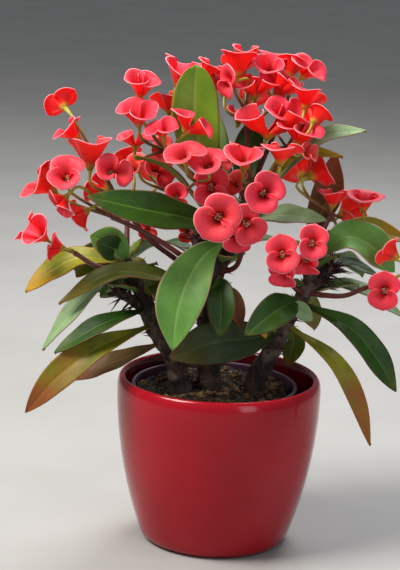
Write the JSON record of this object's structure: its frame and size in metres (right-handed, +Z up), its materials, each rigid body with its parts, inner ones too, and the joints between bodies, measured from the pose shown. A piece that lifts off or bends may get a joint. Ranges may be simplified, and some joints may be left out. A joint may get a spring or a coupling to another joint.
{
  "type": "potted euphorbia",
  "caption": "Crown of thorns plant with red bract pairs, fleshy leaves and thorny stems, in a thin nursery pot inside a glazed cover pot.",
  "frame": {"origin": "centre of the cover pot's foot, on the surface that it stands on", "axes": "+Z up along the pot's axis, -Y towards the front of the plant, +X to its right"},
  "size_m": [0.2488, 0.1541, 0.3183],
  "materials": {
    "red_glaze": "glossy dark red glaze",
    "nursery_plastic": "thin moulded purple plastic",
    "peat_soil": "dark crumbly peat with bark and roots",
    "bark": "grey-brown thorny bark",
    "leaf_sage": "fresh green leaf, satin",
    "leaf_dark": "dark green leaf, satin",
    "leaf_olive": "olive leaf, satin",
    "leaf_yellow": "yellowing leaf, satin",
    "leaf_rust": "rust-brown ageing leaf, satin",
    "leaf_pale": "pale grey-green leaf, satin",
    "flower": "velvety scarlet bracts"
  },
  "bodies": {
    "root": {"cover_pot": "red_glaze", "nursery_pot": "nursery_plastic", "soil": "peat_soil", "left_stem": "bark", "centre_stem": "bark", "back_stem": "bark", "right_stem": "bark", "front_leaf": "leaf_sage", "front_left_leaf": "leaf_dark", "upright_leaf": "leaf_olive", "arching_leaf": "leaf_olive", "left_brown_leaf": "leaf_dark", "left_pale_leaf": "leaf_pale", "left_dark_leaf": "leaf_olive", "low_left_leaf": "leaf_olive", "low_rust_leaf": "leaf_rust", "yellow_leaf": "leaf_yellow", "left_round_leaf": "leaf_dark", "inner_left_leaf": "leaf_sage", "curled_leaf": "leaf_olive", "centre_small_leaf": "leaf_dark", "centre_rust_leaf": "leaf_rust", "right_front_leaf": "leaf_dark", "shaded_leaf": "leaf_dark", "right_small_leaf": "leaf_olive", "right_low_leaf": "leaf_dark", "hanging_leaf": "leaf_olive", "right_pale_leaf": "leaf_pale", "right_thin_leaf": "leaf_dark", "right_broad_leaf": "leaf_sage", "right_yellow_leaf": "leaf_yellow", "inner_right_leaf": "leaf_pale", "upper_right_leaf": "leaf_pale", "rear_round_leaf": "leaf_rust", "upper_rear_leaf": "leaf_dark", "back_left_leaf": "leaf_dark", "back_right_leaf": "leaf_sage", "back_centre_leaf": "leaf_dark", "back_low_leaf": "leaf_olive", "back_low_right_leaf": "leaf_olive", "back_upper_leaf": "leaf_sage", "low_left_flowers": "flower", "big_left_flowers": "flower", "middle_left_flowers": "flower", "top_left_flowers": "flower", "top_middle_flowers": "flower", "centre_left_flowers": "flower", "front_flowers": "flower", "centre_flowers": "flower", "top_flowers": "flower", "top_right_flowers": "flower", "right_flowers": "flower", "right_back_flowers": "flower", "front_right_flowers": "flower", "far_right_flowers": "flower", "rear_left_flowers": "flower", "back_top_flowers": "flower", "back_left_flowers": "flower", "back_right_flowers": "flower"}
  },
  "joints": []
}
